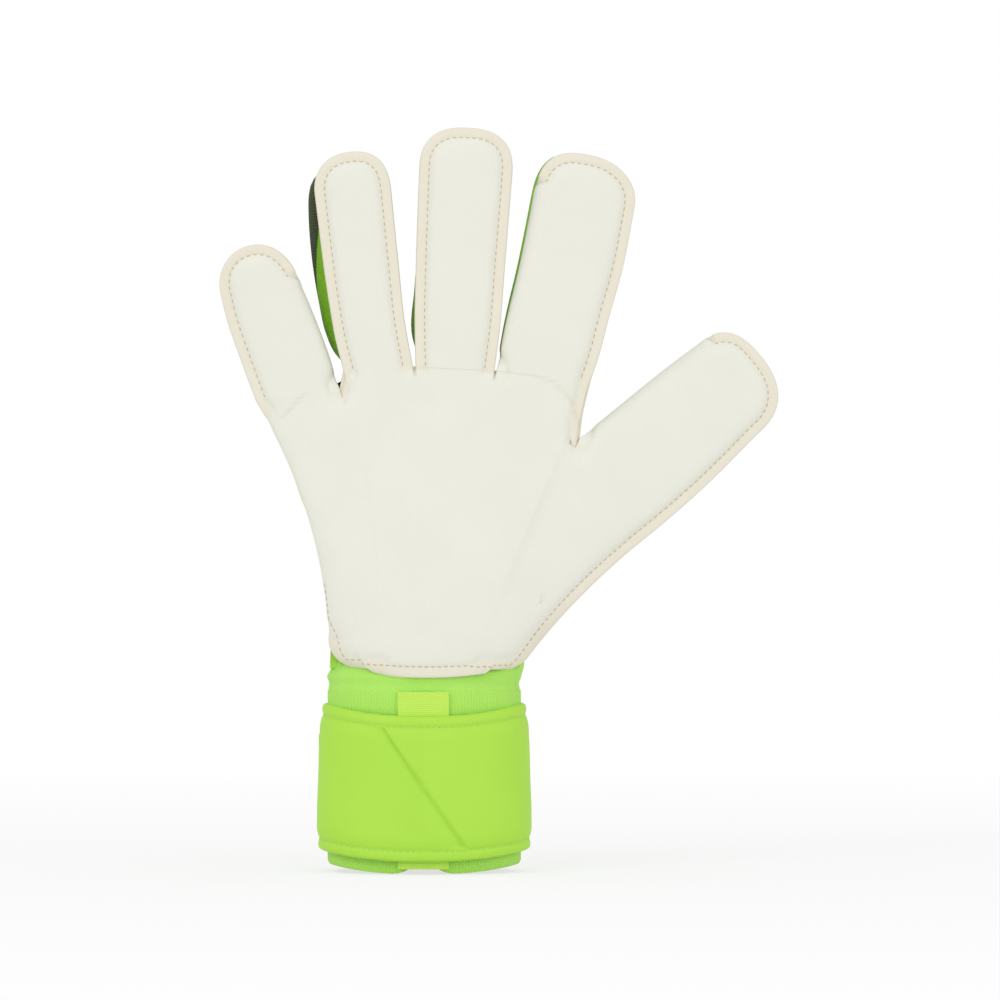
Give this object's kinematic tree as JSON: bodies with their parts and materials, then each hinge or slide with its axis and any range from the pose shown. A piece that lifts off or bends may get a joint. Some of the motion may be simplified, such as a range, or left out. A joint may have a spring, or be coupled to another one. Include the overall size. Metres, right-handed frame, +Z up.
{
  "type": "goalkeeper glove",
  "caption": "Right-hand goalkeeper glove with a latex foam palm, padded jointed fingers, an elastic cuff and a wide wrist strap with a closing tab.",
  "frame": {"origin": "middle of the wrist opening, in the plane of the cuff's lower edge", "axes": "+Z up from the wrist towards the fingers, palm facing -Y, thumb towards +X"},
  "size_m": [0.2097, 0.0615, 0.2804],
  "materials": {
    "palm_foam": "white latex foam with a fine dry grain, matt",
    "lime_backhand": "bright lime padded polyester knit, matt",
    "green_gusset": "bright green stretch mesh, matt",
    "terry": "white terry towelling, matt",
    "elastic": "ribbed woven lime elastic, matt",
    "tab_fabric": "yellow-green webbing, matt",
    "strap": "smooth lime synthetic leather over foam, satin",
    "hook_and_loop": "hook and loop fastener, matt",
    "pull": "moulded soft pull, satin"
  },
  "bodies": {
    "hand": {"palm_latex": "palm_foam", "palm_lining": "terry", "backhand_panel": "lime_backhand", "finger_web": "green_gusset", "thumb_web": "green_gusset", "cuff_yoke": "lime_backhand", "wrist_elastic": "elastic", "front_tab": "tab_fabric", "strap_band": "strap", "loop_patch": "hook_and_loop"},
    "little_proximal": {"little_palm_proximal": "palm_foam", "little_back_proximal": "lime_backhand", "little_gusset_proximal": "green_gusset"},
    "little_middle": {"little_palm_middle": "palm_foam", "little_back_middle": "lime_backhand", "little_gusset_middle": "green_gusset"},
    "little_tip": {"little_palm_tip": "palm_foam", "little_back_tip": "lime_backhand", "little_gusset_tip": "green_gusset"},
    "ring_proximal": {"ring_palm_proximal": "palm_foam", "ring_back_proximal": "lime_backhand", "ring_gusset_proximal": "green_gusset"},
    "ring_middle": {"ring_palm_middle": "palm_foam", "ring_back_middle": "lime_backhand", "ring_gusset_middle": "green_gusset"},
    "ring_tip": {"ring_palm_tip": "palm_foam", "ring_back_tip": "lime_backhand", "ring_gusset_tip": "green_gusset"},
    "middle_proximal": {"middle_palm_proximal": "palm_foam", "middle_back_proximal": "lime_backhand", "middle_gusset_proximal": "green_gusset"},
    "middle_middle": {"middle_palm_middle": "palm_foam", "middle_back_middle": "lime_backhand", "middle_gusset_middle": "green_gusset"},
    "middle_tip": {"middle_palm_tip": "palm_foam", "middle_back_tip": "lime_backhand", "middle_gusset_tip": "green_gusset"},
    "index_proximal": {"index_palm_proximal": "palm_foam", "index_back_proximal": "lime_backhand", "index_gusset_proximal": "green_gusset"},
    "index_middle": {"index_palm_middle": "palm_foam", "index_back_middle": "lime_backhand", "index_gusset_middle": "green_gusset"},
    "index_tip": {"index_palm_tip": "palm_foam", "index_back_tip": "lime_backhand", "index_gusset_tip": "green_gusset"},
    "thumb_proximal": {"thumb_palm_proximal": "palm_foam", "thumb_back_proximal": "lime_backhand", "thumb_gusset_proximal": "green_gusset"},
    "thumb_tip": {"thumb_palm_tip": "palm_foam", "thumb_back_tip": "lime_backhand", "thumb_gusset_tip": "green_gusset"},
    "closing_tab": {"strap_tab": "strap", "hook_patch": "hook_and_loop", "strap_pull": "pull"}
  },
  "joints": [
    {"name": "little_base_fold", "type": "hinge", "parent": "hand", "child": "little_proximal", "pos_m": [-0.04704, -0.0136, 0.18009], "axis": [0.9903, 0, 0.1392], "range_deg": [0, 80], "stiffness_Nm_per_rad": 0.06},
    {"name": "little_middle_fold", "type": "hinge", "parent": "little_proximal", "child": "little_middle", "pos_m": [-0.05188, -0.01407, 0.19743], "axis": [0.9903, 0, 0.1392], "range_deg": [0, 90], "stiffness_Nm_per_rad": 0.042},
    {"name": "little_tip_fold", "type": "hinge", "parent": "little_middle", "child": "little_tip", "pos_m": [-0.05699, -0.0156, 0.21573], "axis": [0.9903, 0, 0.1392], "range_deg": [0, 54], "stiffness_Nm_per_rad": 0.024},
    {"name": "ring_base_fold", "type": "hinge", "parent": "hand", "child": "ring_proximal", "pos_m": [-0.01692, -0.0136, 0.18965], "axis": [0.998, 0, 0.0628], "range_deg": [0, 80], "stiffness_Nm_per_rad": 0.09},
    {"name": "ring_middle_fold", "type": "hinge", "parent": "ring_proximal", "child": "ring_middle", "pos_m": [-0.02049, -0.01414, 0.21642], "axis": [0.998, 0, 0.0628], "range_deg": [0, 90], "stiffness_Nm_per_rad": 0.063},
    {"name": "ring_tip_fold", "type": "hinge", "parent": "ring_middle", "child": "ring_tip", "pos_m": [-0.02393, -0.01569, 0.24219], "axis": [0.998, 0, 0.0628], "range_deg": [0, 54], "stiffness_Nm_per_rad": 0.036},
    {"name": "middle_base_fold", "type": "hinge", "parent": "hand", "child": "middle_proximal", "pos_m": [0.01168, -0.0136, 0.1897], "axis": [0.9986, 0, -0.0523], "range_deg": [0, 80], "stiffness_Nm_per_rad": 0.1},
    {"name": "middle_middle_fold", "type": "hinge", "parent": "middle_proximal", "child": "middle_middle", "pos_m": [0.01309, -0.01415, 0.21967], "axis": [0.9986, 0, -0.0523], "range_deg": [0, 90], "stiffness_Nm_per_rad": 0.07},
    {"name": "middle_tip_fold", "type": "hinge", "parent": "middle_middle", "child": "middle_tip", "pos_m": [0.01441, -0.01565, 0.24764], "axis": [0.9986, 0, -0.0523], "range_deg": [0, 54], "stiffness_Nm_per_rad": 0.04},
    {"name": "index_base_fold", "type": "hinge", "parent": "hand", "child": "index_proximal", "pos_m": [0.04423, -0.0136, 0.18724], "axis": [0.9954, 0, -0.0958], "range_deg": [0, 80], "stiffness_Nm_per_rad": 0.1},
    {"name": "index_middle_fold", "type": "hinge", "parent": "index_proximal", "child": "index_middle", "pos_m": [0.04938, -0.01414, 0.21476], "axis": [0.9954, 0, -0.0958], "range_deg": [0, 90], "stiffness_Nm_per_rad": 0.07},
    {"name": "index_tip_fold", "type": "hinge", "parent": "index_middle", "child": "index_tip", "pos_m": [0.05416, -0.01562, 0.24032], "axis": [0.9954, 0, -0.0958], "range_deg": [0, 54], "stiffness_Nm_per_rad": 0.04},
    {"name": "thumb_base_fold", "type": "hinge", "parent": "hand", "child": "thumb_proximal", "pos_m": [0.06832, -0.0136, 0.14266], "axis": [0.4226, 0, -0.9063], "range_deg": [0, 50], "stiffness_Nm_per_rad": 0.16},
    {"name": "thumb_tip_fold", "type": "hinge", "parent": "thumb_proximal", "child": "thumb_tip", "pos_m": [0.09896, -0.01491, 0.16837], "axis": [0.4226, 0, -0.9063], "range_deg": [0, 65], "stiffness_Nm_per_rad": 0.08},
    {"name": "strap_opening", "type": "hinge", "parent": "hand", "child": "closing_tab", "pos_m": [0.03324, 0.01867, 0.0345], "axis": [0, 0, -1], "range_deg": [0, 100]}
  ],
  "couplings": [
    {"joint": "little_tip_fold", "follows": "little_middle_fold", "ratio": 0.6},
    {"joint": "ring_tip_fold", "follows": "ring_middle_fold", "ratio": 0.6},
    {"joint": "middle_tip_fold", "follows": "middle_middle_fold", "ratio": 0.6},
    {"joint": "index_tip_fold", "follows": "index_middle_fold", "ratio": 0.6}
  ]
}
